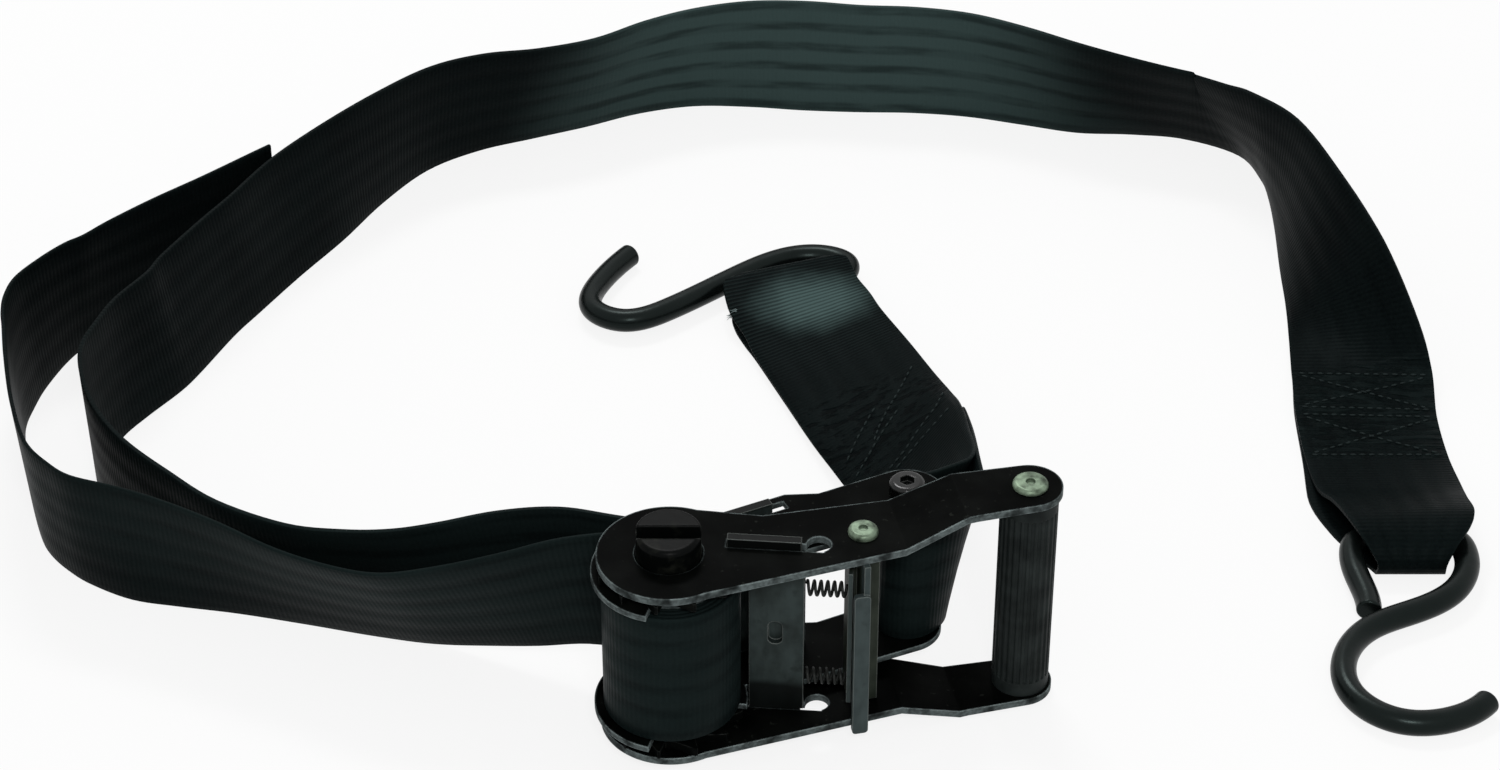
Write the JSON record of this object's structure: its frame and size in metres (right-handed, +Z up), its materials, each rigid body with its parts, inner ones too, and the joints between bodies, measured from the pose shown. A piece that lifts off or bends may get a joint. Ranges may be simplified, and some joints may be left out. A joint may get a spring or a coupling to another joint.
{
  "type": "ratchet strap",
  "caption": "Tie-down strap with a ratchet lying on its side, handle closed, webbing wound on its slotted drum, a loose webbing end and an open S-shaped hook at each end.",
  "frame": {"origin": "middle of the whole lay-out on the surface it lies on", "axes": "+X along the lay-out's longest way, from the left bend to the long hook; +Y away from the ratchet; +Z up, along the ratchet's drum"},
  "size_m": [0.5061, 0.397, 0.086],
  "materials": {
    "black_steel": "satin black over pressed steel",
    "plated_steel": "dull zinc plate",
    "bolt_steel": "black oxide, worn on its edges",
    "rivet_steel": "plated, lightly turned heads",
    "spring_steel": "plain spring wire",
    "grip_plastic": "moulded grey-black, fluted",
    "webbing": "woven black polyester",
    "hook_coating": "smooth black coating over round steel bar"
  },
  "bodies": {
    "frame": {"frame_plate_upper": "black_steel", "frame_plate_lower": "black_steel", "frame_bridge": "plated_steel", "fixed_bolt": "bolt_steel", "bolt_nut": "bolt_steel", "bolt_spacer": "plated_steel", "lock_pawl_springs": "spring_steel", "main_strap": "webbing", "tail_strap": "webbing", "short_strap": "webbing"},
    "lock_pawl": {"lock_pawl": "plated_steel"},
    "handle": {"handle_plate_upper": "black_steel", "handle_plate_lower": "black_steel", "cross_bar": "plated_steel", "cross_bar_rivets": "rivet_steel", "grip_rod": "rivet_steel", "grip_sleeve": "grip_plastic", "drive_pawl_springs": "spring_steel"},
    "drive_pawl": {"drive_pawl": "plated_steel"},
    "drum": {"drum_half_back": "bolt_steel", "drum_half_front": "bolt_steel", "ratchet_wheel_upper": "bolt_steel", "ratchet_wheel_lower": "bolt_steel", "webbing_bundle": "webbing"},
    "hook_long": {"hook_long": "hook_coating"},
    "hook_short": {"hook_short": "hook_coating"}
  },
  "joints": [
    {"name": "handle_swing", "type": "hinge", "parent": "frame", "child": "handle", "pos_m": [-0.01745, -0.17503, 0.043], "axis": [0, 0, -1], "range_deg": [0, 180]},
    {"name": "drum_turn", "type": "hinge", "parent": "frame", "child": "drum", "pos_m": [-0.01745, -0.17503, 0.043], "axis": [0, 0, -1], "continuous": true},
    {"name": "lock_pawl_slide", "type": "slide", "parent": "frame", "child": "lock_pawl", "axis": [0.8988, 0.4384, 0], "range_m": [0, 0.005], "stiffness_N_per_m": 400, "springref_m": -0.008, "deforming": ["lock_pawl_springs"]},
    {"name": "drive_pawl_slide", "type": "slide", "parent": "handle", "child": "drive_pawl", "axis": [0.9962, -0.0872, 0], "range_m": [0, 0.006], "stiffness_N_per_m": 400, "springref_m": -0.01, "deforming": ["drive_pawl_springs"]},
    {"name": "hook_long_swing", "type": "hinge", "parent": "frame", "child": "hook_long", "pos_m": [0.22955, -0.08143, 0.00595], "axis": [-1, 0, 0], "range_deg": [0, 15]},
    {"name": "hook_short_swing", "type": "hinge", "parent": "frame", "child": "hook_short", "pos_m": [0.00955, 0.06297, 0.00595], "axis": [0.9659, 0.2588, 0], "range_deg": [0, 15]}
  ]
}
